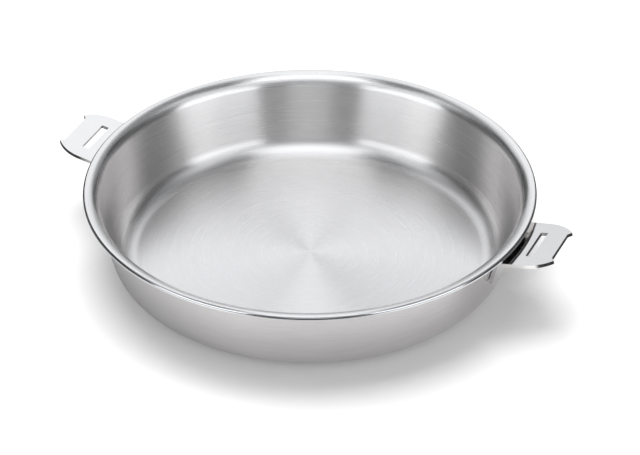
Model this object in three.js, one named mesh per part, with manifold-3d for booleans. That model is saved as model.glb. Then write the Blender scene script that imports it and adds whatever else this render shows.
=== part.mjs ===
// Frying pan pressed from three-ply clad sheet, with two welded brackets that take removable handles.
// Millimetres, +Z up. The origin is the centre of the base's underside and the brackets lie on the X axis.
import * as THREE from 'three';
import { mergeVertices } from 'three/addons/utils/BufferGeometryUtils.js';
import Module from 'manifold-3d';

const { degToRad } = THREE.MathUtils;

// Pan body
const rimDiameter = 280;
const panHeight = 52.8;
const wallTaper = degToRad(14); // lean of the wall from the vertical
const floorFillet = 14.6; // inside radius between floor and wall
const lipBend = 6.4; // radius on the underside of the rolled-out lip
const lipRound = 1.4; // upper corner of the cut edge, which the lip's bend runs into
const edgeRound = 0.9; // lower corner of the cut edge

// Plies of the sheet, counted from the cooking side
const linerThickness = 0.5;
const coreThickness = 1.8;
const shellThickness = 0.5;
const bondLine = 0.02; // clearance between two plies

// Bracket: one stamped plate with a foot on the wall and a tongue that stands out under the lip
const bracketThickness = 2.2;
const tongueTilt = degToRad(10.5); // rise of the tongue from the level
const tongueUnderLip = 2; // drop from the lip's underside to the tongue's top, at the rim's edge
const tongueWidth = 48.6;
const tongueReach = 26.3; // from below the rim's edge to the tips of the ears, along the tongue
const sideRadius = 22; // round sides that draw in from the full width to the ears
const earSpan = 32.5; // from ear tip to ear tip
const notchDepth = 2.2;
const notchWidth = 27.4;
const slotOffset = 9.45; // from below the rim's edge to the slot's centre line, along the tongue
const slotLength = 27.3;
const slotWidth = 4.6;
const slotCorner = 0.6;
const bendRadius = 2; // inside radius of the bend between foot and tongue
const footWidth = 43;
const footLength = 14.8; // straight part of the foot, along the wall
const footGap = 0.5; // stand-off that the welds leave between foot and wall

// Spot welds under each foot
const weldDiameter = 4;
const weldClearance = 0.1;
const weldPitchAcross = 26;
const weldPitchUp = 7;

// Facets
const turnSegments = 60;
const arcSegments = 5;
const edgeSteps = 4; // bands round each ply's share of the cut edge
const acrossSteps = 12;
const weldSegments = 16;
const mergeDistance = 1e-4; // points closer than this are one
const trimMargin = 4; // how far blanks and cutters reach past the outline that trims them

const wasm = await Module();
wasm.setup();

const rimRadius = rimDiameter / 2;
const linerDepth = [0, linerThickness];
const coreDepth = [linerDepth[1] + bondLine, linerDepth[1] + bondLine + coreThickness];
const shellDepth = [coreDepth[1] + bondLine, coreDepth[1] + bondLine + shellThickness];
const sheetThickness = shellDepth[1];

// Directions in the radial plane, as (radius, height)
const upTheWall = new THREE.Vector2(Math.sin(wallTaper), Math.cos(wallTaper));
const outOfWall = new THREE.Vector2(Math.cos(wallTaper), -Math.sin(wallTaper));
const alongTongue = new THREE.Vector2(Math.cos(tongueTilt), Math.sin(tongueTilt));
const belowTongue = new THREE.Vector2(Math.sin(tongueTilt), -Math.cos(tongueTilt));

function step(point, direction, distance) {
  return point.clone().addScaledVector(direction, distance);
}

// The wall's straight stretch touches the lip's bend above and the floor's fillet below
const lipCentre = new THREE.Vector2(rimRadius - lipRound, panHeight - sheetThickness - lipBend);
const wallTop = step(lipCentre, outOfWall, -(lipBend + sheetThickness));
const filletHeight = sheetThickness + floorFillet;
const wallFootHeight = filletHeight + floorFillet * outOfWall.y;
const wallFoot = step(wallTop, upTheWall, -(wallTop.y - wallFootHeight) / upTheWall.y);
const filletCentre = step(wallFoot, outOfWall, -floorFillet);

function arcPoints(centre, radius, from, to) {
  const points = [];
  for (let i = 0; i <= arcSegments; i += 1) {
    const angle = THREE.MathUtils.lerp(from, to, i / arcSegments);
    points.push(new THREE.Vector2(Math.cos(angle), Math.sin(angle)).multiplyScalar(radius).add(centre));
  }
  return points;
}

// How far a rounded corner draws the cut edge in, at a distance from the face that it rounds
function cornerDrop(corner, fromFace) {
  const radius = Math.min(corner, sheetThickness / 2);
  const rise = Math.max(radius - fromFace, 0);
  return radius - Math.sqrt(radius ** 2 - rise ** 2);
}

// Radius of the cut edge at a depth below the lip's top, with both corners rounded
function edgeRadiusAt(depth) {
  return rimRadius - cornerDrop(lipRound, depth) - cornerDrop(edgeRound, sheetThickness - depth);
}

function edgePoint(depth) {
  return new THREE.Vector2(edgeRadiusAt(depth), panHeight - depth);
}

// One face of a ply from the axis to the lip, at a depth below the cooking surface
function facePoints(depth) {
  return [
    new THREE.Vector2(0, sheetThickness - depth),
    ...arcPoints(filletCentre, floorFillet + depth, -Math.PI / 2, -wallTaper),
    ...arcPoints(lipCentre, lipBend + sheetThickness - depth, Math.PI - wallTaper, Math.PI / 2),
    edgePoint(depth),
  ];
}

// A ply is its two faces joined round the cut edge, turned about the pan's axis
function plyGeometry([top, bottom]) {
  const edge = [];
  for (let i = 1; i < edgeSteps; i += 1) {
    edge.push(edgePoint(THREE.MathUtils.lerp(bottom, top, i / edgeSteps)));
  }
  const outline = [...facePoints(bottom), ...edge, ...facePoints(top).reverse()];
  return new THREE.LatheGeometry(outline, turnSegments).rotateX(Math.PI / 2);
}

function solidFrom(geometry) {
  const bare = geometry.clone();
  bare.deleteAttribute('normal');
  bare.deleteAttribute('uv');
  const merged = mergeVertices(bare, mergeDistance);
  const vertProperties = new Float32Array(merged.attributes.position.array);
  const triVerts = new Uint32Array(merged.index.array);
  return new wasm.Manifold(new wasm.Mesh({ numProp: 3, vertProperties, triVerts }));
}

function geometryFrom(solid) {
  const { vertProperties, triVerts } = solid.getMesh();
  const geometry = new THREE.BufferGeometry();
  geometry.setAttribute('position', new THREE.BufferAttribute(vertProperties, 3));
  geometry.setIndex(new THREE.BufferAttribute(triVerts, 1));
  geometry.computeVertexNormals();
  return geometry;
}

// Radial section of the bracket: the foot's wall side, the bend and the tongue's top, one thickness apart
const outerWallFoot = step(filletCentre, outOfWall, floorFillet + sheetThickness);
const footLine = step(outerWallFoot, outOfWall, footGap);
const tongueStart = new THREE.Vector2(rimRadius, panHeight - sheetThickness - tongueUnderLip);
const bendOutside = bendRadius + bracketThickness;

// The bend's centre lies the outside radius away from both the foot's line and the tongue's line
function findBendCentre() {
  const toFoot = footLine.dot(outOfWall) + bendOutside;
  const toTongue = tongueStart.dot(belowTongue) + bendOutside;
  const scale = outOfWall.x * belowTongue.y - outOfWall.y * belowTongue.x;
  const radius = (toFoot * belowTongue.y - toTongue * outOfWall.y) / scale;
  const height = (toTongue * outOfWall.x - toFoot * belowTongue.x) / scale;
  return new THREE.Vector2(radius, height);
}

const bendCentre = findBendCentre();
const footTop = step(bendCentre, outOfWall, -bendOutside);
const footBottom = step(footTop, upTheWall, -footLength);
const footMiddle = step(footTop, upTheWall, -footLength / 2);
const bendEnd = step(bendCentre, belowTongue, -bendOutside);

function sectionShape() {
  const tip = step(tongueStart, alongTongue, tongueReach + trimMargin);
  const tipBelow = step(tip, belowTongue, bracketThickness);
  const footBottomOutside = step(footBottom, outOfWall, bracketThickness);
  const footAngle = Math.PI - wallTaper;
  const tongueAngle = Math.PI / 2 + tongueTilt;
  const shape = new THREE.Shape();
  shape.moveTo(footBottom.x, footBottom.y);
  shape.absarc(bendCentre.x, bendCentre.y, bendOutside, footAngle, tongueAngle, true);
  shape.lineTo(tip.x, tip.y);
  shape.lineTo(tipBelow.x, tipBelow.y);
  shape.absarc(bendCentre.x, bendCentre.y, bendRadius, tongueAngle, footAngle, false);
  shape.lineTo(footBottomOutside.x, footBottomOutside.y);
  shape.closePath();
  return shape;
}

// The section runs across the bracket. Each slice slides along the tongue's own plane, so the tongue
// stays flat while the foot follows the round wall.
function bentStrip() {
  const width = tongueWidth + 2 * trimMargin;
  const settings = { depth: width, steps: acrossSteps, bevelEnabled: false, curveSegments: arcSegments };
  const strip = new THREE.ExtrudeGeometry(sectionShape(), settings);
  strip.translate(0, 0, -width / 2).rotateX(Math.PI / 2);
  const points = strip.attributes.position;
  const slope = Math.tan(tongueTilt);
  const slideShare = 1 / (1 - slope * Math.tan(wallTaper));
  for (let i = 0; i < points.count; i += 1) {
    const chordDrop = Math.sqrt(footMiddle.x ** 2 - points.getY(i) ** 2) - footMiddle.x;
    const slide = chordDrop * slideShare;
    points.setX(i, points.getX(i) + slide);
    points.setZ(i, points.getZ(i) + slide * slope);
  }
  return strip;
}

// Outline of the bracket looking square on to the tongue, as (along the tongue, across it)
function bracketOutline() {
  const inner = -footLength - trimMargin;
  const relief = bendEnd.clone().sub(tongueStart).dot(alongTongue);
  const notch = tongueReach - notchDepth;
  const arcAcross = tongueWidth / 2 - sideRadius;
  const earRise = earSpan / 2 - arcAcross;
  const arcAlong = tongueReach - Math.sqrt(sideRadius ** 2 - earRise ** 2);
  const earAngle = Math.atan2(earRise, tongueReach - arcAlong);
  const outline = new THREE.Shape();
  outline.moveTo(inner, -footWidth / 2);
  outline.lineTo(relief, -footWidth / 2);
  outline.lineTo(relief, -tongueWidth / 2);
  outline.absarc(arcAlong, -arcAcross, sideRadius, -Math.PI / 2, -earAngle, false);
  outline.lineTo(notch, -notchWidth / 2);
  outline.lineTo(notch, notchWidth / 2);
  outline.absarc(arcAlong, arcAcross, sideRadius, earAngle, Math.PI / 2, false);
  outline.lineTo(relief, tongueWidth / 2);
  outline.lineTo(relief, footWidth / 2);
  outline.lineTo(inner, footWidth / 2);
  outline.closePath();
  outline.holes.push(slotPath());
  return outline;
}

// Slot that the latch of a removable handle hooks into
function slotPath() {
  const low = slotOffset - slotWidth / 2;
  const high = slotOffset + slotWidth / 2;
  const side = slotLength / 2;
  const path = new THREE.Path();
  path.moveTo(low + slotCorner, -side);
  path.lineTo(high - slotCorner, -side);
  path.quadraticCurveTo(high, -side, high, -side + slotCorner);
  path.lineTo(high, side - slotCorner);
  path.quadraticCurveTo(high, side, high - slotCorner, side);
  path.lineTo(low + slotCorner, side);
  path.quadraticCurveTo(low, side, low, side - slotCorner);
  path.lineTo(low, -side + slotCorner);
  path.quadraticCurveTo(low, -side, low + slotCorner, -side);
  return path;
}

function bracketGeometry() {
  const below = footLength + 2 * bendOutside + trimMargin;
  const settings = { depth: below + trimMargin, bevelEnabled: false, curveSegments: arcSegments };
  const cutter = new THREE.ExtrudeGeometry(bracketOutline(), settings);
  cutter.translate(0, 0, -below).rotateY(-tongueTilt).translate(tongueStart.x, 0, tongueStart.y);
  return geometryFrom(solidFrom(bentStrip()).intersect(solidFrom(cutter)));
}

function metal(color, roughness) {
  return new THREE.MeshStandardMaterial({ color, roughness, metalness: 1 });
}

function namedMesh(name, geometry, material) {
  const mesh = new THREE.Mesh(geometry, material);
  mesh.name = name;
  return mesh;
}

// A weld is a flat nugget between foot and wall, its axis square to the wall
function weldMesh(name, up) {
  const thickness = footGap - 2 * weldClearance;
  const nugget = new THREE.CylinderGeometry(weldDiameter / 2, weldDiameter / 2, thickness, weldSegments);
  nugget.rotateZ(-Math.PI / 2).rotateY(wallTaper);
  const seat = step(step(footMiddle, upTheWall, up), outOfWall, -footGap / 2);
  const mesh = namedMesh(name, nugget, metal(0x8f8f90, 0.6));
  mesh.position.set(seat.x, 0, seat.y);
  return mesh;
}

// One bracket with its welds, made on the +X side and turned to its place round the pan
function bracketGroup(side, turn) {
  const group = new THREE.Group();
  group.add(namedMesh(`bracket_${side}`, bracketGeometry(), metal(0xe4e5e6, 0.1)));
  let count = 0;
  for (const across of [-weldPitchAcross / 2, weldPitchAcross / 2]) {
    const column = new THREE.Group();
    column.rotation.z = Math.asin(across / footMiddle.x);
    for (const up of [-weldPitchUp / 2, weldPitchUp / 2]) {
      count += 1;
      column.add(weldMesh(`weld_${side}_${count}`, up));
    }
    group.add(column);
  }
  group.rotation.z = turn;
  return group;
}

const pan = new THREE.Group();
pan.add(namedMesh('cooking_surface', plyGeometry(linerDepth), metal(0xd3d4d6, 0.3)));
pan.add(namedMesh('aluminium_core', plyGeometry(coreDepth), metal(0xc9cbce, 0.4)));
pan.add(namedMesh('outer_shell', plyGeometry(shellDepth), metal(0xbdbdbe, 0.35)));
pan.add(bracketGroup('right', 0));
pan.add(bracketGroup('left', Math.PI));

export default pan;
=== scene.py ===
"""Frying pan of clad stainless sheet with two slotted brackets: finishes, studio and camera."""

import math

import bmesh
import bpy
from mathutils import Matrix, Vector


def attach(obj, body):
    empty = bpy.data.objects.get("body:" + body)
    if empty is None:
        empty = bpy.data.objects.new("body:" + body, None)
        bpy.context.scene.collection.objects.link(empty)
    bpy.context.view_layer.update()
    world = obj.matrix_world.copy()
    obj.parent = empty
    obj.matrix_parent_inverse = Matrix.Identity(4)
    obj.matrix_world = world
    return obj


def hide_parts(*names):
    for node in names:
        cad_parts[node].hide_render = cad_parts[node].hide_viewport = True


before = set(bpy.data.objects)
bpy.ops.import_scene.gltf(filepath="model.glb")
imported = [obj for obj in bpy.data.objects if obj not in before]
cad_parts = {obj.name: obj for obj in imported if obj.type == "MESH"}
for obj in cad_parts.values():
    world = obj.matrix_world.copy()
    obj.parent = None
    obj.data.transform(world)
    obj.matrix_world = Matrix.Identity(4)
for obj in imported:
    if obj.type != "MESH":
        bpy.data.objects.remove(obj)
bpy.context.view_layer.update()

# Sizes in metres, the same as in the part's source
MM = 0.001
RIM_RADIUS = 140 * MM
PAN_HEIGHT = 52.8 * MM
WALL_TAPER = math.radians(14)
FLOOR_FILLET = 14.6 * MM
LIP_BEND = 6.4 * MM
LIP_ROUND = 1.4 * MM
EDGE_ROUND = 0.9 * MM

# Each ply's top and bottom, as depths below the sheet's upper face
LINER = (0.0, 0.5 * MM)
CORE = (0.52 * MM, 2.32 * MM)
SHELL = (2.34 * MM, 2.84 * MM)
SHEET = SHELL[1]

PLATE = 2.2 * MM
TONGUE_TILT = math.radians(10.5)
TONGUE_UNDER_LIP = 2.0 * MM
TONGUE_WIDTH = 48.6 * MM
TONGUE_REACH = 26.3 * MM
SIDE_RADIUS = 22 * MM
EAR_SPAN = 32.5 * MM
NOTCH_DEPTH = 2.2 * MM
NOTCH_WIDTH = 27.4 * MM
SLOT_OFFSET = 9.45 * MM
SLOT_LENGTH = 27.3 * MM
SLOT_WIDTH = 4.6 * MM
SLOT_CORNER = 0.6 * MM
BEND_RADIUS = 2 * MM
FOOT_WIDTH = 43 * MM
FOOT_LENGTH = 14.8 * MM
FOOT_GAP = 0.5 * MM
WELDS_PER_FOOT = 4

# The softening of the bracket's edges, which the solids don't have
PLATE_ROUND = 0.3 * MM
ROUND_STEPS = 3
ROUND_FROM_ANGLE = math.radians(50)

# Steps of the meshes. The lip's finish starts on the cut edge, after CUT_STEPS of its EDGE_STEPS,
# and ends on the lip's bend, after LIP_STEPS of its ARC_STEPS.
TURN_SEGMENTS = 192
ARC_STEPS = 18
LIP_STEPS = 10
EDGE_STEPS = 10
CUT_STEPS = 7
SIDE_STEPS = 14
SLOT_STEPS = 4
BEND_STEPS = 8
FOOT_STEPS = 14
LONGEST_SIDE = 2.4 * MM

# Tolerances
SAME_POINT = 1e-7
ON_AXIS = 1e-9
ROUNDING = 1e-6
CUT_TOLERANCE = 0.02 * MM

# Directions in the radial plane, as (radius, height)
UP_THE_WALL = Vector((math.sin(WALL_TAPER), math.cos(WALL_TAPER)))
OUT_OF_WALL = Vector((math.cos(WALL_TAPER), -math.sin(WALL_TAPER)))
ALONG_TONGUE = Vector((math.cos(TONGUE_TILT), math.sin(TONGUE_TILT)))
BELOW_TONGUE = Vector((math.sin(TONGUE_TILT), -math.cos(TONGUE_TILT)))

# Section of the sheet's upper face: lip, wall and fillet
LIP_CENTRE = Vector((RIM_RADIUS - LIP_ROUND, PAN_HEIGHT - SHEET - LIP_BEND))
WALL_TOP = LIP_CENTRE - OUT_OF_WALL * (LIP_BEND + SHEET)
WALL_FOOT_HEIGHT = SHEET + FLOOR_FILLET + FLOOR_FILLET * OUT_OF_WALL.y
WALL_FOOT = WALL_TOP - UP_THE_WALL * ((WALL_TOP.y - WALL_FOOT_HEIGHT) / UP_THE_WALL.y)
FILLET_CENTRE = WALL_FOOT - OUT_OF_WALL * FLOOR_FILLET


def spread(start, stop, steps):
    """Evenly spaced values from start to stop, both included."""
    return [start + (stop - start) * i / steps for i in range(steps + 1)]


def placed(name, data):
    """New object in the scene."""
    made = bpy.data.objects.new(name, data)
    bpy.context.collection.objects.link(made)
    return made


# Plies. Each profile point is (radius, height, normal's radius part, normal's height part).
def arc_run(centre, radius, start, stop, facing):
    """Profile points on an arc, which face away from its centre (facing 1) or towards it (facing -1)."""
    run = []
    for angle in spread(start, stop, ARC_STEPS):
        out, up = math.cos(angle), math.sin(angle)
        run.append((centre.x + radius * out, centre.y + radius * up, facing * out, facing * up))
    return run


def floor_run(depth, facing):
    """Floor and fillet of one face of a ply, from the axis outwards."""
    arc = arc_run(FILLET_CENTRE, FLOOR_FILLET + depth, -math.pi / 2, -WALL_TAPER, -facing)
    return [(0.0, SHEET - depth, 0.0, facing)] + arc


def lip_run(depth, start, stop, facing):
    """Lip's bend of one face of a ply."""
    return arc_run(LIP_CENTRE, LIP_BEND + SHEET - depth, start, stop, facing)


def edge_point(depth):
    """Point of the cut edge at a depth below the lip's top: round corner, straight, round corner."""
    if depth < LIP_ROUND:
        radius = LIP_ROUND
        angle = math.asin((LIP_ROUND - depth) / LIP_ROUND)
    else:
        past_straight = max(depth - SHEET + EDGE_ROUND, 0.0)
        radius = EDGE_ROUND
        angle = -math.asin(min(past_straight / EDGE_ROUND, 1.0))
    out, up = math.cos(angle), math.sin(angle)
    return (RIM_RADIUS - radius * (1 - out), PAN_HEIGHT - depth, out, up)


def edge_run(depths):
    """Cut edge of one ply, from its lower face to its upper one, with points closer near both faces."""
    top, bottom = depths
    shares = [(1 - math.cos(turn)) / 2 for turn in spread(0.0, math.pi, EDGE_STEPS)]
    return [edge_point(bottom + (top - bottom) * share) for share in shares]


def ply(name, depths, finishes):
    """A ply turned about the axis: outside face, cut edge, lip and inside face, each with its finish."""
    top, bottom = depths
    wall_angle = math.pi - WALL_TAPER
    low_lip = lip_run(bottom, wall_angle, math.pi / 2, -1)
    high_lip = lip_run(top, math.pi / 2, wall_angle, 1)
    edge = edge_run(depths)
    low_corner = (*edge[0][:2], 0.0, -1.0)
    high_corner = (*edge[-1][:2], 0.0, 1.0)
    runs = [
        ("outside", floor_run(bottom, -1) + low_lip + [low_corner]),
        ("edge", edge[:CUT_STEPS + 1]),
        ("lip", edge[CUT_STEPS:]),
        ("lip", [high_corner] + high_lip[:LIP_STEPS + 1]),
        ("inside", high_lip[LIP_STEPS:] + floor_run(top, 1)[::-1]),
    ]
    return turned(name, runs, finishes)


def distinct_rings(runs):
    """Profile points of all runs in order, without the ones that repeat the point before."""
    rings = []
    for _, run in runs:
        for point in run:
            if not rings or math.dist(point[:2], rings[-1][:2]) >= SAME_POINT:
                rings.append(point)
    return rings


def on_line(line, radius, height):
    """Place, or direction, with this radius and height on one of the lines round the axis."""
    angle = 2 * math.pi * line / TURN_SEGMENTS
    return (radius * math.cos(angle), radius * math.sin(angle), height)


def turned(name, runs, finishes):
    """Solid of revolution about Z with the profile's own normals, closed on the axis at both ends."""
    rings = distinct_rings(runs)
    materials = sorted(set(finishes.values()), key=lambda material: material.name)
    points, starts = [], []
    for radius, height, _, _ in rings:
        starts.append(len(points))
        lines = 1 if radius < ON_AXIS else TURN_SEGMENTS
        points += [on_line(line, radius, height) for line in range(lines)]

    def vertex(ring, line):
        return starts[ring] if rings[ring][0] < ON_AXIS else starts[ring] + line % TURN_SEGMENTS

    def ring_of(point):
        return min(range(len(rings)), key=lambda ring: math.dist(rings[ring][:2], point[:2]))

    faces, normals, slots = [], [], []
    for part, run in runs:
        slot = materials.index(finishes[part])
        for here, there in zip(run, run[1:]):
            low, high = ring_of(here), ring_of(there)
            if low == high:
                continue
            for line in range(TURN_SEGMENTS):
                past = line + 1
                corners = [(low, line, here), (low, past, here), (high, past, there), (high, line, there)]
                face = {}
                for ring, at, point in corners:
                    face.setdefault(vertex(ring, at), on_line(at, point[2], point[3]))
                faces.append(list(face))
                normals += face.values()
                slots.append(slot)
    mesh = bpy.data.meshes.new(name)
    mesh.from_pydata(points, [], faces)
    for material in materials:
        mesh.materials.append(material)
    mesh.polygons.foreach_set("material_index", slots)
    mesh.polygons.foreach_set("use_smooth", [True] * len(faces))
    mesh.normals_split_custom_set(normals)
    mesh.update()
    return placed(name, mesh)


# Section of the bracket: foot on the wall, bend, tongue under the lip
FOOT_LINE = FILLET_CENTRE + OUT_OF_WALL * (FLOOR_FILLET + SHEET + FOOT_GAP)
TONGUE_START = Vector((RIM_RADIUS, PAN_HEIGHT - SHEET - TONGUE_UNDER_LIP))
BEND_OUTSIDE = BEND_RADIUS + PLATE


def find_bend_centre():
    """Where the lines meet that lie one outside radius away from the foot and the tongue."""
    to_foot = FOOT_LINE.dot(OUT_OF_WALL) + BEND_OUTSIDE
    to_tongue = TONGUE_START.dot(BELOW_TONGUE) + BEND_OUTSIDE
    scale = OUT_OF_WALL.x * BELOW_TONGUE.y - OUT_OF_WALL.y * BELOW_TONGUE.x
    radius = (to_foot * BELOW_TONGUE.y - to_tongue * OUT_OF_WALL.y) / scale
    height = (to_tongue * OUT_OF_WALL.x - to_foot * BELOW_TONGUE.x) / scale
    return Vector((radius, height))


BEND_CENTRE = find_bend_centre()
FOOT_TOP = BEND_CENTRE - OUT_OF_WALL * BEND_OUTSIDE
FOOT_MIDDLE = FOOT_TOP - UP_THE_WALL * (FOOT_LENGTH / 2)
BEND_END = BEND_CENTRE - BELOW_TONGUE * BEND_OUTSIDE
RELIEF = (BEND_END - TONGUE_START).dot(ALONG_TONGUE)
BEND_TURN = math.pi / 2 - WALL_TAPER - TONGUE_TILT
BEND_LENGTH = BEND_OUTSIDE * BEND_TURN
BEND_ROWS = spread(0.0, -BEND_LENGTH, BEND_STEPS)
FOOT_SIDE = FOOT_WIDTH / 2
FOOT_COLUMNS = spread(-FOOT_SIDE, FOOT_SIDE, FOOT_STEPS)

# The bracket's faces by the finish of the plate and of the cut edge beside it
TONGUE_FACE, FOOT_FACE, SLOT_FACE = range(3)


def slide_at(across):
    """How far a slice of the bracket slides inwards, so that the foot follows the round wall."""
    drop = math.sqrt(FOOT_MIDDLE.x ** 2 - across ** 2) - FOOT_MIDDLE.x
    return drop / (1 - math.tan(TONGUE_TILT) * math.tan(WALL_TAPER))


def bend_at(across):
    """Where the bend ends on the tongue, measured along the tongue from below the rim's edge."""
    return RELIEF + slide_at(across) / math.cos(TONGUE_TILT)


def from_bend(points):
    """The tongue's points, with the length along it measured from where the bend ends."""
    return [Vector((point.x - bend_at(point.y), point.y)) for point in points]


def bracket_point(past_bend, across):
    """Point of the plate's upper side, which runs round the bend to the foot's wall side."""
    slide = slide_at(across)
    shift = Vector((slide, slide * math.tan(TONGUE_TILT)))
    if past_bend >= 0:
        flat = BEND_END + ALONG_TONGUE * past_bend
    elif -past_bend <= BEND_LENGTH:
        angle = math.pi / 2 + TONGUE_TILT - past_bend / BEND_OUTSIDE
        flat = BEND_CENTRE + Vector((math.cos(angle), math.sin(angle))) * BEND_OUTSIDE
    else:
        flat = FOOT_TOP - UP_THE_WALL * (-past_bend - BEND_LENGTH)
    flat = flat + shift
    return Vector((flat.x, across, flat.y))


def divided(points):
    """The run, without its last point, with each side cut into equal lengths that aren't too long."""
    found = []
    for here, there in zip(points, points[1:]):
        count = max(1, math.ceil((there - here).length / LONGEST_SIDE - ROUNDING))
        found += [here.lerp(there, i / count) for i in range(count)]
    return found


def flat_arc(centre, radius, start, stop, steps):
    angles = spread(start, stop, steps)
    return [centre + Vector((math.cos(angle), math.sin(angle))) * radius for angle in angles]


def half_tongue():
    """Half of the tongue's outline, from the foot's corner to the notch, as (along, across)."""
    arc_across = TONGUE_WIDTH / 2 - SIDE_RADIUS
    ear_rise = EAR_SPAN / 2 - arc_across
    arc_along = TONGUE_REACH - math.sqrt(SIDE_RADIUS ** 2 - ear_rise ** 2)
    ear_angle = math.atan2(ear_rise, TONGUE_REACH - arc_along)
    half = [Vector((RELIEF, FOOT_SIDE)), Vector((RELIEF, TONGUE_WIDTH / 2))]
    half += flat_arc(Vector((arc_along, arc_across)), SIDE_RADIUS, math.pi / 2, ear_angle, SIDE_STEPS)
    half.append(Vector((TONGUE_REACH - NOTCH_DEPTH, NOTCH_WIDTH / 2)))
    return half


def plate_outline():
    """Outline of the plate before bending, as (past the bend's end, across): tongue, sides, foot."""
    half = half_tongue()
    mirrored = [Vector((point.x, -point.y)) for point in reversed(half)]
    tongue = from_bend(divided(half + mirrored) + mirrored[-1:])
    one_side = [Vector((row, -FOOT_SIDE)) for row in BEND_ROWS]
    foot_end = [Vector((-BEND_LENGTH - FOOT_LENGTH, column)) for column in FOOT_COLUMNS]
    other_side = [Vector((row, FOOT_SIDE)) for row in reversed(BEND_ROWS)]
    return tongue + one_side + foot_end + other_side


def slot_outline():
    """Outline of the slot before bending, with round corners."""
    points = []
    low, high = SLOT_OFFSET - SLOT_WIDTH / 2, SLOT_OFFSET + SLOT_WIDTH / 2
    side = SLOT_LENGTH / 2
    corners = [(low, -side, 180), (high, -side, 270), (high, side, 0), (low, side, 90)]
    for along, across, start in corners:
        centre = Vector((
            along + math.copysign(SLOT_CORNER, SLOT_OFFSET - along),
            across - math.copysign(SLOT_CORNER, across),
        ))
        points += flat_arc(centre, SLOT_CORNER, math.radians(start), math.radians(start + 90), SLOT_STEPS)
    return from_bend(divided(points + points[:1]))


def cut_by_plane(shape, parts, place, facing):
    bmesh.ops.bisect_plane(shape, geom=parts, dist=CUT_TOLERANCE, plane_co=place, plane_no=facing)


def flat_plate():
    """The plate before bending, cut into rows and columns where it will follow bend and wall."""
    shape = bmesh.new()
    for ring in (plate_outline(), slot_outline()):
        verts = [shape.verts.new((point.x, point.y, 0.0)) for point in ring]
        for here, there in zip(verts, verts[1:] + verts[:1]):
            shape.edges.new((here, there))
    bmesh.ops.triangle_fill(shape, use_beauty=True, edges=shape.edges[:], normal=(0, 0, 1))
    slot_points = set(verts)
    for face in shape.faces:
        beside_slot = len(slot_points.intersection(face.verts)) > 1
        face.material_index = SLOT_FACE if beside_slot else TONGUE_FACE
    for row in BEND_ROWS:
        everything = shape.verts[:] + shape.edges[:] + shape.faces[:]
        cut_by_plane(shape, everything, (row, 0, 0), (1, 0, 0))
    for column in FOOT_COLUMNS[1:-1]:
        bent = [face for face in shape.faces if face.calc_center_median().x < 0]
        edges = dict.fromkeys(edge for face in bent for edge in face.edges)
        verts = dict.fromkeys(vert for face in bent for vert in face.verts)
        cut_by_plane(shape, bent + list(edges) + list(verts), (0, column, 0), (0, 1, 0))
    for face in shape.faces:
        if face.calc_center_median().x < -BEND_LENGTH / 2:
            face.material_index = FOOT_FACE
    return shape


def bracket(name, turn, finish, foot_finish_and_painted_shade, cut_finish_and_painted_shade):
    """Stamped and bent plate with softened edges, made on the +X side and turned to its place."""
    shape = flat_plate()
    for face in shape.faces:
        face.smooth = True
    for vert in shape.verts:
        vert.co = bracket_point(vert.co.x, vert.co.y)
    shape.normal_update()
    mesh = bpy.data.meshes.new(name)
    shape.to_mesh(mesh)
    shape.free()
    face_finishes = [finish, foot_finish_and_painted_shade, finish]
    edge_finishes = [finish, foot_finish_and_painted_shade, cut_finish_and_painted_shade]
    for material in face_finishes + edge_finishes:
        mesh.materials.append(material)
    piece = placed(name, mesh)
    piece.rotation_euler.z = turn
    thickness = piece.modifiers.new("plate", "SOLIDIFY")
    thickness.thickness = PLATE
    thickness.offset = -1
    thickness.use_even_offset = True
    thickness.material_offset_rim = len(face_finishes)
    soft = piece.modifiers.new("soft_edges", "BEVEL")
    soft.width = PLATE_ROUND
    soft.segments = ROUND_STEPS
    soft.limit_method = "ANGLE"
    soft.angle_limit = ROUND_FROM_ANGLE
    soft.harden_normals = True
    return piece


# The middle of a noise's 0 to 1, which most of its values fill, and a narrower one for a sum of noises
NOISE_SPAN = (0.3, 0.7)
SUM_SPAN = (0.35, 0.65)

# Brush marks: radius of the circle that the noise follows round the axis, in its own cells,
# and its cells per metre along the profile
FINE_MARKS = (2.2, 2600.0)
BROAD_MARKS = (1.1, 420.0)
SHORT_MARKS = (7.0, 620.0)
CLOUD_SCALE = 18.0
LINE_SHARE = 0.6
SCRATCH_SHARE = 0.5
CLOUD_SHARE = 0.2
BRUSH_DEPTH = 0.02 * MM

# Share of a full turn that lays the highlights across the grain
GRAIN_TURN = 0.25

# Buffing marks, which run along X, and wiping haze
BUFF_STRETCH = (300.0, 4000.0, 300.0)
HAZE_SCALE = 60.0
HAZE_SHARE = 0.6
BUFF_RELIEF = 0.02
BUFF_DEPTH = 0.01 * MM

# Mottling of the welds
WELD_SCALE = 1600.0
WELD_ROUGH = (0.45, 0.65)
WELD_RELIEF = 0.3
WELD_DEPTH = 0.05 * MM


# Nodes of the finishes
def fresh_tree(owner):
    """Empty node tree of a material or a world."""
    owner.use_nodes = True
    owner.node_tree.nodes.clear()
    return owner.node_tree


def new_material(name):
    material = bpy.data.materials.new(name)
    tree = fresh_tree(material)
    output = tree.nodes.new("ShaderNodeOutputMaterial")
    shader = tree.nodes.new("ShaderNodeBsdfPrincipled")
    tree.links.new(shader.outputs["BSDF"], output.inputs["Surface"])
    return material, tree, shader


def math_node(tree, operation, first, second=0.0, third=0.0):
    node = tree.nodes.new("ShaderNodeMath")
    node.operation = operation
    for socket, value in zip(node.inputs, (first, second, third)):
        if isinstance(value, bpy.types.NodeSocket):
            tree.links.new(value, socket)
        else:
            socket.default_value = value
    return node.outputs[0]


def vector_node(tree, operation, vector):
    node = tree.nodes.new("ShaderNodeVectorMath")
    node.operation = operation
    tree.links.new(vector, node.inputs[0])
    return node


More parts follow.
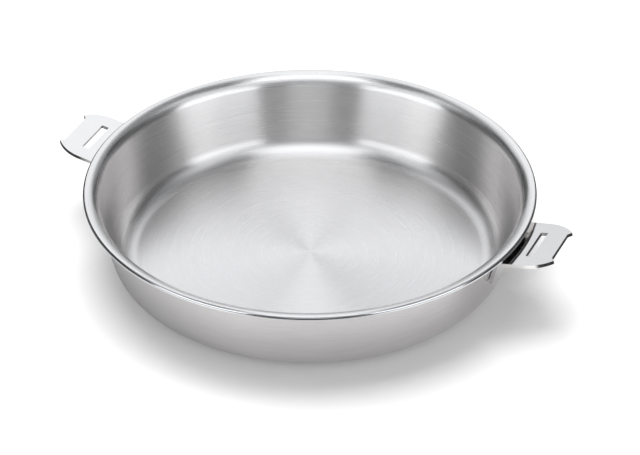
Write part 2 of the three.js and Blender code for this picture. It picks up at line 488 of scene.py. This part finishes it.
def weighted(tree, *shares):
    """Sum of values, each given with its share."""
    value, share = shares[0]
    total = math_node(tree, "MULTIPLY", value, share)
    for value, share in shares[1:]:
        total = math_node(tree, "MULTIPLY_ADD", value, share, total)
    return total


def ramp(tree, value, from_low, from_high, to_low=0.0, to_high=1.0):
    node = tree.nodes.new("ShaderNodeMapRange")
    tree.links.new(value, node.inputs["Value"])
    node.inputs["From Min"].default_value = from_low
    node.inputs["From Max"].default_value = from_high
    node.inputs["To Min"].default_value = to_low
    node.inputs["To Max"].default_value = to_high
    return node.outputs["Result"]


def noise(tree, vector, scale, detail, roughness=0.5):
    node = tree.nodes.new("ShaderNodeTexNoise")
    tree.links.new(vector, node.inputs["Vector"])
    node.inputs["Scale"].default_value = scale
    node.inputs["Detail"].default_value = detail
    node.inputs["Roughness"].default_value = roughness
    return node.outputs["Fac"]


def object_coords(tree):
    return tree.nodes.new("ShaderNodeTexCoord").outputs["Object"]


def split(tree, vector):
    node = tree.nodes.new("ShaderNodeSeparateXYZ")
    tree.links.new(vector, node.inputs[0])
    return node.outputs


def combined(tree, **parts):
    """Vector of the parts that are given, by X, Y and Z."""
    node = tree.nodes.new("ShaderNodeCombineXYZ")
    for axis, value in parts.items():
        tree.links.new(value, node.inputs[axis])
    return node.outputs[0]


def brush_vector(tree, around, along):
    """Coordinates that run slowly round the pan's axis and fast along its profile."""
    place = split(tree, object_coords(tree))
    flat = combined(tree, X=place["X"], Y=place["Y"])
    radius = vector_node(tree, "LENGTH", flat).outputs["Value"]
    facing = split(tree, vector_node(tree, "NORMALIZE", flat).outputs[0])
    profile = math_node(tree, "ADD", radius, place["Z"])
    return combined(
        tree,
        X=math_node(tree, "MULTIPLY", facing["X"], around),
        Y=math_node(tree, "MULTIPLY", facing["Y"], around),
        Z=math_node(tree, "MULTIPLY", profile, along),
    )


def tone(tree, value, dark, light):
    """Colour between two near shades of the same metal."""
    node = tree.nodes.new("ShaderNodeMix")
    node.data_type = "RGBA"
    tree.links.new(value, node.inputs["Factor"])
    node.inputs["A"].default_value = (*dark, 1.0)
    node.inputs["B"].default_value = (*light, 1.0)
    return node.outputs["Result"]


def bump(tree, shader, height, strength, distance):
    node = tree.nodes.new("ShaderNodeBump")
    node.inputs["Strength"].default_value = strength
    node.inputs["Distance"].default_value = distance
    tree.links.new(height, node.inputs["Height"])
    tree.links.new(node.outputs["Normal"], shader.inputs["Normal"])


def round_grain(tree, shader, anisotropy):
    """Highlights drawn out across a grain that runs round the pan's axis."""
    node = tree.nodes.new("ShaderNodeTangent")
    node.direction_type = "RADIAL"
    node.axis = "Z"
    tree.links.new(node.outputs["Tangent"], shader.inputs["Tangent"])
    shader.inputs["Anisotropic"].default_value = anisotropy
    shader.inputs["Anisotropic Rotation"].default_value = GRAIN_TURN


def bare_metal(tree, shader, shade, dark, light, marks, rough):
    """Metal whose colour follows a shade from 0 to 1, and its roughness the noise of its marks."""
    tree.links.new(tone(tree, shade, dark, light), shader.inputs["Base Color"])
    tree.links.new(ramp(tree, marks, *NOISE_SPAN, *rough), shader.inputs["Roughness"])
    shader.inputs["Metallic"].default_value = 1.0


def brushed(name, dark, light, rough, anisotropy, relief):
    """Metal brushed in circles round the pan's axis."""
    material, tree, shader = new_material(name)
    lines = noise(tree, brush_vector(tree, *FINE_MARKS), scale=1.0, detail=2.0)
    bands = noise(tree, brush_vector(tree, *BROAD_MARKS), scale=1.0, detail=3.0)
    scratches = noise(tree, brush_vector(tree, *SHORT_MARKS), scale=1.0, detail=2.0)
    cloud = noise(tree, object_coords(tree), CLOUD_SCALE, detail=2.0)
    marks = weighted(tree, (bands, 1 - LINE_SHARE), (lines, LINE_SHARE))
    marks_share = 1 - SCRATCH_SHARE - CLOUD_SHARE
    mixed = weighted(tree, (marks, marks_share), (cloud, CLOUD_SHARE), (scratches, SCRATCH_SHARE))
    bare_metal(tree, shader, ramp(tree, mixed, *SUM_SPAN), dark, light, marks, rough)
    round_grain(tree, shader, anisotropy)
    bump(tree, shader, marks, relief, BRUSH_DEPTH)
    return material


def polished(name, dark, light, rough):
    """Steel polished bright, with faint buffing marks and wiping haze."""
    material, tree, shader = new_material(name)
    coords = object_coords(tree)
    stretch = tree.nodes.new("ShaderNodeMapping")
    stretch.inputs["Scale"].default_value = BUFF_STRETCH
    tree.links.new(coords, stretch.inputs["Vector"])
    buffing = noise(tree, stretch.outputs[0], scale=1.0, detail=3.0, roughness=0.6)
    haze = noise(tree, coords, HAZE_SCALE, detail=3.0)
    marks = weighted(tree, (haze, HAZE_SHARE), (buffing, 1 - HAZE_SHARE))
    bare_metal(tree, shader, ramp(tree, marks, *NOISE_SPAN), dark, light, marks, rough)
    bump(tree, shader, buffing, BUFF_RELIEF, BUFF_DEPTH)
    return material


def fused(name, dark, light):
    """Metal melted in a spot weld: mottled, with a slight heat tint."""
    material, tree, shader = new_material(name)
    grain = noise(tree, object_coords(tree), WELD_SCALE, detail=4.0, roughness=0.65)
    bare_metal(tree, shader, ramp(tree, grain, *NOISE_SPAN), dark, light, grain, WELD_ROUGH)
    bump(tree, shader, grain, WELD_RELIEF, WELD_DEPTH)
    return material


inside_steel = brushed(
    "steel_inside",
    dark=(0.777, 0.762, 0.753),
    light=(0.803, 0.788, 0.779),
    rough=(0.26, 0.31),
    anisotropy=0.9,
    relief=0.1,
)
outside_steel = brushed(
    "steel_outside",
    dark=(0.655, 0.642, 0.64),
    light=(0.715, 0.70, 0.698),
    rough=(0.20, 0.26),
    anisotropy=0.85,
    relief=0.1,
)
lip_steel = brushed(
    "steel_lip",
    dark=(0.76, 0.745, 0.735),
    light=(0.81, 0.795, 0.785),
    rough=(0.21, 0.27),
    anisotropy=0.75,
    relief=0.03,
)
# Cut edge round the rim: darker steel, partly its own tone and partly painted shade for the dark outline
# round the rim
edge_steel_and_painted_shade = brushed(
    "steel_edge",
    dark=(0.59, 0.58, 0.575),
    light=(0.65, 0.64, 0.635),
    rough=(0.14, 0.20),
    anisotropy=0.3,
    relief=0.05,
)
edge_aluminium = brushed(
    "aluminium_edge",
    dark=(0.72, 0.73, 0.74),
    light=(0.80, 0.81, 0.82),
    rough=(0.10, 0.16),
    anisotropy=0.3,
    relief=0.05,
)
bracket_steel = polished(
    "steel_bracket",
    dark=(0.735, 0.72, 0.71),
    light=(0.775, 0.76, 0.75),
    rough=(0.06, 0.11),
)
# Foot and lower half of the bend: satin steel whose darker tone is partly its own and partly painted
# shade under the lip
foot_steel_and_painted_shade = polished(
    "steel_foot",
    dark=(0.60, 0.59, 0.59),
    light=(0.66, 0.65, 0.65),
    rough=(0.20, 0.28),
)
# Cut walls of the slots: darker sheared steel, partly its own tone and partly painted shade in the slots
cut_steel_and_painted_shade = polished(
    "steel_cut",
    dark=(0.36, 0.35, 0.345),
    light=(0.46, 0.45, 0.445),
    rough=(0.26, 0.36),
)
weld_metal = fused(
    "weld_metal",
    dark=(0.36, 0.35, 0.34),
    light=(0.50, 0.49, 0.48),
)

# Pieces
steel_ply = {"outside": outside_steel, "edge": edge_steel_and_painted_shade, "lip": lip_steel, "inside": inside_steel}
core_ply = {part: edge_aluminium for part in steel_ply}
plies = [
    ("cooking_surface_ply", LINER, steel_ply, "cooking_surface", "cooking_surface"),
    ("aluminium_core_ply", CORE, core_ply, "aluminium_core", "core"),
    ("outer_shell_ply", SHELL, steel_ply, "outer_shell", "shell"),
]
for name, depths, finishes, node, slot in plies:
    piece = ply(name, depths, finishes)
    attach(piece, "root")
    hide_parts(node)
for side, turn in (("right", 0.0), ("left", math.pi)):
    piece = bracket(f"bracket_plate_{side}", turn, bracket_steel, foot_steel_and_painted_shade, cut_steel_and_painted_shade)
    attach(piece, "root")
    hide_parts(f"bracket_{side}")
    for count in range(1, WELDS_PER_FOOT + 1):
        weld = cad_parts[f"weld_{side}_{count}"]
        weld.data.materials.clear()
        weld.data.materials.append(weld_metal)

# Studio
WHITE = (1.0, 1.0, 1.0, 1.0)
AMBIENT = 0.45

FLOOR_HALF = 6.0
FLOOR_DROP = 0.2 * MM
FLOOR_SHADE = (0.95, 0.95, 0.95, 1.0)
FLOOR_ROUGH = 0.9
FLOOR_FILL = 0.10

LAMP_PLACE = Vector((-0.21, 0.20, 1.4))
LAMP_SIDE = 1.2
LAMP_RADIANCE = 4.8

VIEW_AZIMUTH = math.radians(23.99)
VIEW_ELEVATION = math.radians(33.94)
VIEW_DISTANCE = 1.762
SENSOR_WIDTH = 36.0
LENS_LENGTH = 158.9
TARGET_HEIGHT = 21.09 * MM
TARGET_RIGHT = 6.25 * MM


def seen_flag(tree):
    """1 for rays that show a surface: camera, glossy and transmission rays. 0 for all others."""
    path = tree.nodes.new("ShaderNodeLightPath")
    shown = path.outputs["Is Camera Ray"]
    for kind in ("Is Glossy Ray", "Is Transmission Ray"):
        shown = math_node(tree, "ADD", shown, path.outputs[kind])
    return math_node(tree, "MINIMUM", shown, 1.0)


def square(half):
    """Corners of a level square about the origin."""
    return [(-half, -half, 0), (half, -half, 0), (half, half, 0), (-half, half, 0)]


def stage_card(name, points, faces, material):
    """Card of the studio, which isn't part of the pan."""
    mesh = bpy.data.meshes.new(name)
    mesh.from_pydata(points, [], faces)
    mesh.materials.append(material)
    card = placed(name, mesh)
    return card


# Surround: white where it is seen, and dimmer as a light
world = bpy.data.worlds.new("studio")
bpy.context.scene.world = world
sky = fresh_tree(world)
sky_output = sky.nodes.new("ShaderNodeOutputWorld")
sky_light = sky.nodes.new("ShaderNodeBackground")
sky_light.inputs["Color"].default_value = WHITE
sky_strength = math_node(sky, "MULTIPLY_ADD", seen_flag(sky), 1.0 - AMBIENT, AMBIENT)
sky.links.new(sky_strength, sky_light.inputs["Strength"])
sky.links.new(sky_light.outputs[0], sky_output.inputs["Surface"])

# White paper under the pan, with a little glow that lights nothing
floor_paper, floor_tree, floor_shader = new_material("floor_paper")
floor_shader.inputs["Base Color"].default_value = FLOOR_SHADE
floor_shader.inputs["Roughness"].default_value = FLOOR_ROUGH
floor_shader.inputs["Specular IOR Level"].default_value = 0.0
floor_shader.inputs["Emission Color"].default_value = WHITE
floor_glow = math_node(floor_tree, "MULTIPLY", seen_flag(floor_tree), FLOOR_FILL)
floor_tree.links.new(floor_glow, floor_shader.inputs["Emission Strength"])
floor_paper.cycles.emission_sampling = "NONE"
floor = stage_card("floor", square(FLOOR_HALF), [(0, 1, 2, 3)], floor_paper)
floor.location.z = -FLOOR_DROP

# Soft lamp above, which metal doesn't show. Its power follows from how bright its face looks.
lamp = bpy.data.lights.new("softbox_top", "AREA")
lamp.shape = "RECTANGLE"
lamp.size = LAMP_SIDE
lamp.size_y = LAMP_SIDE
lamp.energy = LAMP_RADIANCE * math.pi * LAMP_SIDE * LAMP_SIDE
softbox = placed("softbox_top", lamp)
softbox.location = LAMP_PLACE
softbox.rotation_euler = LAMP_PLACE.to_track_quat("Z", "Y").to_euler()
softbox.visible_glossy = False

# Light tent that only the metal shows: boxes, grey cloth and black flags.
# Each panel: first and last degree round from the camera, first and last degree up, brightness.
CAMERA_SIDE = VIEW_AZIMUTH - math.pi / 2
TENT_RADIUS = 3.0
TENT_LIGHT = (0.97, 0.995, 1.03, 1.0)
PANEL_STEP = 4
TENT_PAIRS = {
    "opening": (0, 12, 0, 24, 0.7),
    "opening_flag": (12, 28, 0, 36, 0.25),
    "opening_hood": (0, 12, 24, 36, 0.1),
    "box": (28, 75, 0, 24, 2.1),
    "box_top": (28, 75, 24, 36, 1.2),
    "side": (75, 140, 0, 20, 0.12),
    "side_top": (75, 140, 20, 36, 0.02),
    "front_flag": (0, 48, 36, 48, 0.15),
    "side_high": (48, 105, 36, 48, 0.7),
    "front_high": (0, 48, 48, 60, 1.2),
    "shoulder": (48, 105, 48, 60, 0.95),
    "shoulder_flag": (105, 140, 36, 60, 0.3),
    "overhead_front": (0, 60, 60, 75, 1.7),
    "overhead_flag": (60, 160, 60, 75, 0.15),
    "overhead": (0, 90, 75, 90, 1.8),
    "overhead_back": (90, 180, 75, 90, 1.0),
    "back_low": (160, 180, 0, 20, 0.5),
    "back_middle": (160, 180, 20, 31, 0.95),
    "back": (160, 180, 31, 48, 1.2),
    "back_high": (168, 180, 48, 60, 1.1),
    "back_top": (160, 180, 60, 75, 1.3),
}
TENT_BACK = {
    "corner_right_low": (140, 160, 0, 20, 0.05),
    "corner_right": (140, 160, 20, 48, 0.35),
    "corner_left_low": (200, 220, 0, 31, 0.05),
    "corner_left": (200, 220, 31, 48, 0.9),
    "back_flag_right": (140, 168, 48, 60, 0.3),
    "back_flag_left": (192, 220, 48, 60, 1.0),
}

# White sheet under the pan, on dark felt. Its edges are soft, and a soft disc of painted shade darkens it
# beside the pan's left, as the metal shows it.
FELT_SHADE = 0.06
FELT_HEIGHT = 0.5 * MM
SHEET_RADIUS = 0.23
SHEET_LEFT = 0.197
SHEET_RIGHT = 0.187
SHEET_FRONT = 0.195
SHEET_SOFT = 0.010
# Painted shade beside the pan's left: how far left of the middle the disc sits, its radius, and how much
# it covers at its middle
PAINTED_SHADE_LEFT = 0.135
PAINTED_SHADE_RADIUS = 0.16
PAINTED_SHADE_COVER = 0.6


def reflected_only(name, points, faces, shade):
    """Card that metal shows, and that neither lights nor shades the floor."""
    material = bpy.data.materials.new(name)
    tree = fresh_tree(material)
    output = tree.nodes.new("ShaderNodeOutputMaterial")
    glow = tree.nodes.new("ShaderNodeEmission")
    glow.inputs["Color"].default_value = TENT_LIGHT
    glow.inputs["Strength"].default_value = shade
    tree.links.new(glow.outputs[0], output.inputs["Surface"])
    material.cycles.emission_sampling = "NONE"
    card = stage_card(name, points, faces, material)
    card.visible_camera = False
    card.visible_diffuse = False
    card.visible_shadow = False
    return card


def tent_panel(name, side, first, last, low, high, shade):
    """Piece of the tent's sphere, on the camera's right (side 1) or on its left (side -1)."""
    across = max(2, round((last - first) / PANEL_STEP))
    up = max(2, round((high - low) / PANEL_STEP))
    points, faces = [], []
    for i, degrees_round in enumerate(spread(first, last, across)):
        turn = CAMERA_SIDE + side * math.radians(degrees_round)
        for j, degrees_up in enumerate(spread(low, high, up)):
            rise = math.radians(degrees_up)
            level = TENT_RADIUS * math.cos(rise)
            points.append((level * math.cos(turn), level * math.sin(turn), TENT_RADIUS * math.sin(rise)))
            if i and j:
                corner = len(points) - 1
                faces.append((corner - up - 2, corner - 1, corner, corner - up - 1))
    reflected_only(name, points, faces, shade)


def away_from(tree, right):
    """Distance from a point of the card, which lies a length to the right of its middle."""
    node = vector_node(tree, "DISTANCE", object_coords(tree))
    node.inputs[1].default_value = (right, 0.0, 0.0)
    return node.outputs["Value"]


def soft_edge(tree, value, edge, outwards=1):
    """0 inside the sheet's edge and 1 outside it. The value falls on the way out where outwards is -1."""
    return ramp(tree, value, edge - outwards * SHEET_SOFT, edge + outwards * SHEET_SOFT)


def felt(name):
    """Dark felt on the floor. It thins out softly towards the white sheet that the pan stands on, and a
    disc of painted shade darkens the sheet beside the pan's left.
    """
    card = reflected_only(name, square(TENT_RADIUS), [(0, 1, 2, 3)], FELT_SHADE)
    card.location.z = FELT_HEIGHT
    card.rotation_euler.z = VIEW_AZIMUTH
    tree = card.active_material.node_tree
    place = split(tree, object_coords(tree))
    covers = [
        soft_edge(tree, away_from(tree, 0.0), SHEET_RADIUS),
        soft_edge(tree, place["X"], SHEET_RIGHT),
        soft_edge(tree, place["X"], -SHEET_LEFT, outwards=-1),
        soft_edge(tree, place["Y"], -SHEET_FRONT, outwards=-1),
        # Painted shade: a soft disc that darkens the sheet beside the pan's left
        ramp(tree, away_from(tree, -PAINTED_SHADE_LEFT), 0.0, PAINTED_SHADE_RADIUS, PAINTED_SHADE_COVER, 0.0),
    ]
    cover = covers[0]
    for other in covers[1:]:
        cover = math_node(tree, "MAXIMUM", cover, other)
    surface = tree.nodes["Material Output"].inputs["Surface"]
    mix = tree.nodes.new("ShaderNodeMixShader")
    tree.links.new(cover, mix.inputs[0])
    tree.links.new(tree.nodes.new("ShaderNodeBsdfTransparent").outputs[0], mix.inputs[1])
    tree.links.new(surface.links[0].from_socket, mix.inputs[2])
    tree.links.new(mix.outputs[0], surface)


for name, panel in TENT_PAIRS.items():
    tent_panel(f"{name}_right", 1, *panel)
    tent_panel(f"{name}_left", -1, *panel)
for name, panel in TENT_BACK.items():
    tent_panel(name, 1, *panel)
felt("felt")

# Camera at the photograph's angle
right = Vector((math.cos(VIEW_AZIMUTH), math.sin(VIEW_AZIMUTH), 0.0))
back = Vector((
    math.sin(VIEW_AZIMUTH) * math.cos(VIEW_ELEVATION),
    -math.cos(VIEW_AZIMUTH) * math.cos(VIEW_ELEVATION),
    math.sin(VIEW_ELEVATION),
))
lens = bpy.data.cameras.new("camera")
lens.sensor_fit = "HORIZONTAL"
lens.sensor_width = SENSOR_WIDTH
lens.lens = LENS_LENGTH
camera = placed("camera", lens)
camera.location = Vector((0, 0, TARGET_HEIGHT)) + right * TARGET_RIGHT + back * VIEW_DISTANCE
camera.rotation_euler = back.to_track_quat("Z", "Y").to_euler()
bpy.context.scene.camera = camera
bpy.context.scene.view_settings.view_transform = "Standard"
